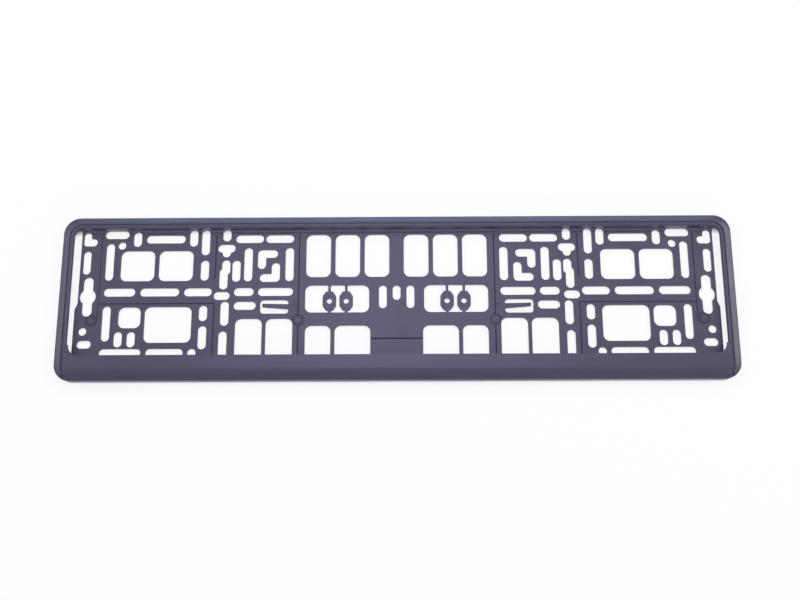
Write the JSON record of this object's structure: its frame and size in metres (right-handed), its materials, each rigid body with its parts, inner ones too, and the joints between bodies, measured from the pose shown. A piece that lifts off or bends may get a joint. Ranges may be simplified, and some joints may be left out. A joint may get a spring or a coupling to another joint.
{
  "type": "number plate holder",
  "caption": "Shallow tray-shaped holder for a car number plate, with a slotted fixing panel, a raised rim with side lips and a fold-up retaining strip along its lower edge.",
  "frame": {"origin": "middle of the outline, on the back plane that lies against the car", "axes": "+X along the plate to its right end, +Y towards the top rim, +Z out of the front; the holder lies on its back"},
  "size_m": [0.535, 0.1324, 0.01],
  "materials": {
    "frame_plastic": "satin",
    "strip_plastic": "satin"
  },
  "bodies": {
    "base": {"base_frame": "frame_plastic"},
    "strip": {"retaining_strip": "strip_plastic"}
  },
  "joints": [
    {"name": "strip_hinge", "type": "hinge", "parent": "base", "child": "strip", "pos_m": [0, -0.06625, 0.0005], "axis": [1, 0, 0], "range_deg": [0, 90]}
  ]
}
